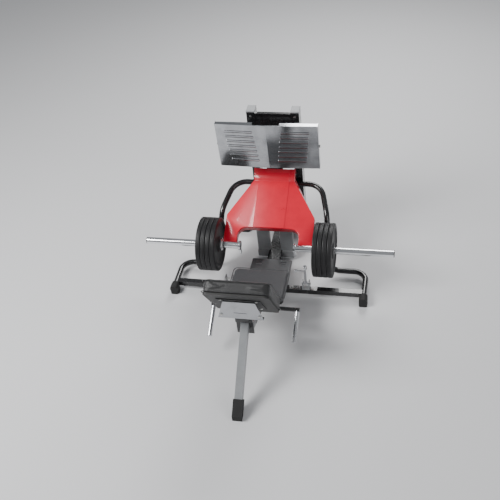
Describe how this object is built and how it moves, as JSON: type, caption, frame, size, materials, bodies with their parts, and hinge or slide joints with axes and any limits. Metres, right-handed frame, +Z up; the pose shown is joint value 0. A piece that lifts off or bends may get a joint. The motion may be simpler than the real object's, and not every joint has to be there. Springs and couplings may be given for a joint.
{
  "type": "hip thrust machine",
  "caption": "Plate-loaded hip thrust machine with a forked lever, reclined back pad on a rear strut, low seat and a tilting steel foot plate on a tower.",
  "frame": {"origin": "middle of the footprint, on the floor", "axes": "+Z up, +Y from the back pad towards the foot plate, +X to the right of a user who sits in it"},
  "size_m": [1.81, 1.955, 1.1902],
  "materials": {
    "black_frame": "gloss",
    "red_cover": "gloss",
    "grey_frame": "satin",
    "grey_cover": "satin",
    "grey_vinyl": "satin",
    "black_vinyl": "satin",
    "board": "matte",
    "chrome": "polished",
    "chrome_grip": "knurled",
    "stainless": "brushed",
    "rubber": "matte",
    "plate_iron": "rubber-coated",
    "black_plastic": "matte",
    "grey_plastic": "matte",
    "zinc": "satin"
  },
  "bodies": {
    "frame": {"base_hoop": "black_frame", "foot_arm_frame": "black_frame", "foot_pivot_bolts": "zinc", "frame_bolts": "zinc", "front_crossbar": "black_frame", "front_feet": "rubber", "handle_crossbar": "black_frame", "handle_left": "chrome_grip", "handle_right": "chrome_grip", "lock_brackets": "grey_frame", "lock_pins": "zinc", "pad_hinge_pin": "zinc", "pivot_bearings": "zinc", "pivot_housings": "black_frame", "pivot_shaft": "zinc", "rear_crossbar": "black_frame", "rear_feet": "rubber", "rear_strut": "grey_frame", "seat_beam": "black_frame", "seat_board": "board", "seat_frame": "black_frame", "seat_pad": "grey_vinyl", "spine_beam": "black_frame", "stop_buffers": "rubber", "stop_posts": "grey_frame", "strut_foot": "rubber", "tongue_cover": "grey_cover", "tower_panel": "black_frame", "tower_post_left": "black_frame", "tower_post_right": "black_frame", "tower_rails": "black_frame", "tube_caps": "grey_plastic"},
    "lever": {"lever_cover": "red_cover", "lever_frame": "black_frame", "hub_bushes": "zinc", "cover_screws": "zinc", "sleeve_left": "chrome", "sleeve_right": "chrome", "sleeve_caps": "black_plastic", "sleeve_flanges": "chrome"},
    "plates_right": {"weight_plate_right_1": "plate_iron", "weight_plate_right_2": "plate_iron", "weight_plate_right_3": "plate_iron", "weight_plate_right_4": "plate_iron"},
    "plates_left": {"weight_plate_left_1": "plate_iron", "weight_plate_left_2": "plate_iron", "weight_plate_left_3": "plate_iron", "weight_plate_left_4": "plate_iron"},
    "clip_right": {"belt_clip_right": "chrome"},
    "clip_left": {"belt_clip_left": "chrome"},
    "lock_lever": {"lock_lever": "chrome"},
    "back_pad": {"back_pad": "black_vinyl", "back_board": "board", "pad_hinge_frame": "black_frame", "pad_bolts": "zinc", "rear_plate": "stainless", "blank_badge": "stainless"},
    "foot_plate": {"foot_plate": "stainless", "foot_plate_frame": "black_frame"},
    "clamp_knob": {"clamp_knob": "chrome"}
  },
  "joints": [
    {"name": "lever_lift", "type": "hinge", "parent": "frame", "child": "lever", "pos_m": [0, 0.8175, 0.745], "axis": [-1, 0, 0], "range_deg": [0, 35]},
    {"name": "plates_right_slide", "type": "slide", "parent": "lever", "child": "plates_right", "axis": [1, 0, 0], "range_m": [0, 0.4]},
    {"name": "plates_left_slide", "type": "slide", "parent": "lever", "child": "plates_left", "axis": [-1, 0, 0], "range_m": [0, 0.4]},
    {"name": "clip_right_swivel", "type": "hinge", "parent": "lever", "child": "clip_right", "pos_m": [0, 0.2875, 0.36], "axis": [1, 0, 0], "range_deg": [-80, 80]},
    {"name": "clip_left_swivel", "type": "hinge", "parent": "lever", "child": "clip_left", "pos_m": [0, 0.2875, 0.36], "axis": [1, 0, 0], "range_deg": [-80, 80]},
    {"name": "lock_lever_swing", "type": "hinge", "parent": "frame", "child": "lock_lever", "pos_m": [0.285, 0.1875, 0.118], "axis": [-1, 0, 0], "range_deg": [0, 20]},
    {"name": "back_pad_tilt", "type": "hinge", "parent": "frame", "child": "back_pad", "pos_m": [0, -0.5125, 0.52], "axis": [1, 0, 0], "range_deg": [0, 15]},
    {"name": "foot_plate_tilt", "type": "hinge", "parent": "frame", "child": "foot_plate", "pos_m": [0, 0.6395, 1.005], "axis": [1, 0, 0], "range_deg": [-10, 10]},
    {"name": "clamp_knob_turn", "type": "hinge", "parent": "frame", "child": "clamp_knob", "pos_m": [-0.1, 0.67247, 1.08659], "axis": [1, 0, 0], "range_deg": [0, 180]}
  ]
}
